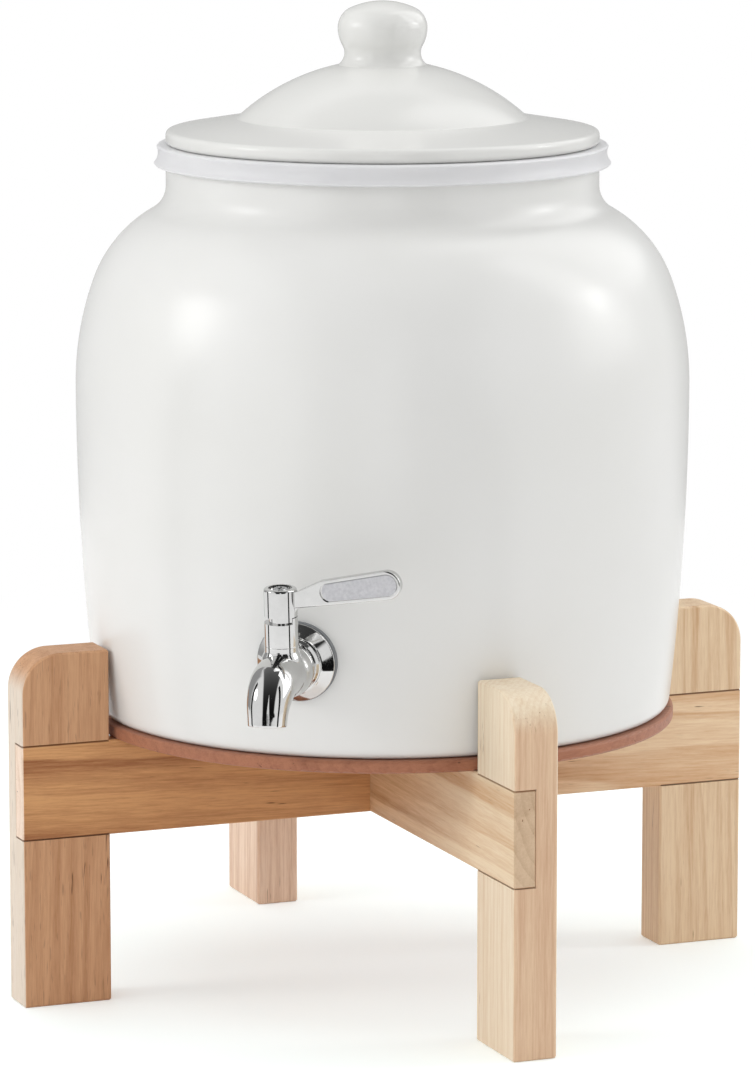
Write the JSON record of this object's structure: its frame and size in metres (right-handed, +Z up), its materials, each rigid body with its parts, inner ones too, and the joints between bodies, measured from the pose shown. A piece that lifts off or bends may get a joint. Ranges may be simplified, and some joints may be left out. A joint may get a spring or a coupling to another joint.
{
  "type": "water dispenser crock with tap and stand",
  "caption": "White glazed stoneware water crock with a knobbed lid, soft rim ring and chrome lever tap, standing on a slotted wooden cross stand.",
  "frame": {"origin": "on the crock's vertical axis at floor level, midway between the four feet of the stand", "axes": "+Z up; the tap points along -Y; the closed tap lever points along +X"},
  "size_m": [0.2835, 0.3251, 0.4335],
  "materials": {
    "leg_wood": "oiled, satin",
    "beam_wood": "oiled, satin",
    "disc_wood": "oiled, satin",
    "screw_steel": "zinc plated",
    "crock_glaze": "glossy white glaze",
    "lid_glaze": "glossy white glaze",
    "ring_silicone": "milky translucent silicone, satin",
    "seal_silicone": "matte grey silicone",
    "washer_steel": "plain stainless",
    "nut_steel": "plain stainless",
    "tap_chrome": "polished",
    "lever_chrome": "polished",
    "valve_brass": "machined",
    "stem_rubber": "matte black",
    "inlay_grey": "matte grey",
    "lever_screw_steel": "stainless, satin"
  },
  "bodies": {
    "stand": {"leg_front_left": "leg_wood", "leg_front_right": "leg_wood", "leg_back_right": "leg_wood", "leg_back_left": "leg_wood", "beam_lower": "beam_wood", "beam_upper": "beam_wood", "base_disc": "disc_wood", "leg_screws": "screw_steel"},
    "crock": {"crock": "crock_glaze", "rim_ring": "ring_silicone", "tap_outer_seal": "seal_silicone", "tap_inner_seal": "seal_silicone", "tap_washer": "washer_steel", "tap_nut": "nut_steel", "tap_flange": "tap_chrome", "tap_body": "tap_chrome", "valve_bonnet": "tap_chrome"},
    "tap_lever": {"valve_plug": "valve_brass", "stem_seals": "stem_rubber", "tap_lever": "lever_chrome", "lever_inlay": "inlay_grey", "lever_screw": "lever_screw_steel"},
    "lid": {"lid": "lid_glaze"}
  },
  "joints": [
    {"name": "crock_lift", "type": "slide", "parent": "stand", "child": "crock", "axis": [0, 0, 1], "range_m": [0, 0.06]},
    {"name": "lever_swing", "type": "hinge", "parent": "crock", "child": "tap_lever", "pos_m": [0, -0.15548, 0.18859], "axis": [0, 0.0778, -0.997], "range_deg": [0, 90]},
    {"name": "lid_lift", "type": "slide", "parent": "crock", "child": "lid", "axis": [0, 0, 1], "range_m": [0, 0.05]}
  ]
}
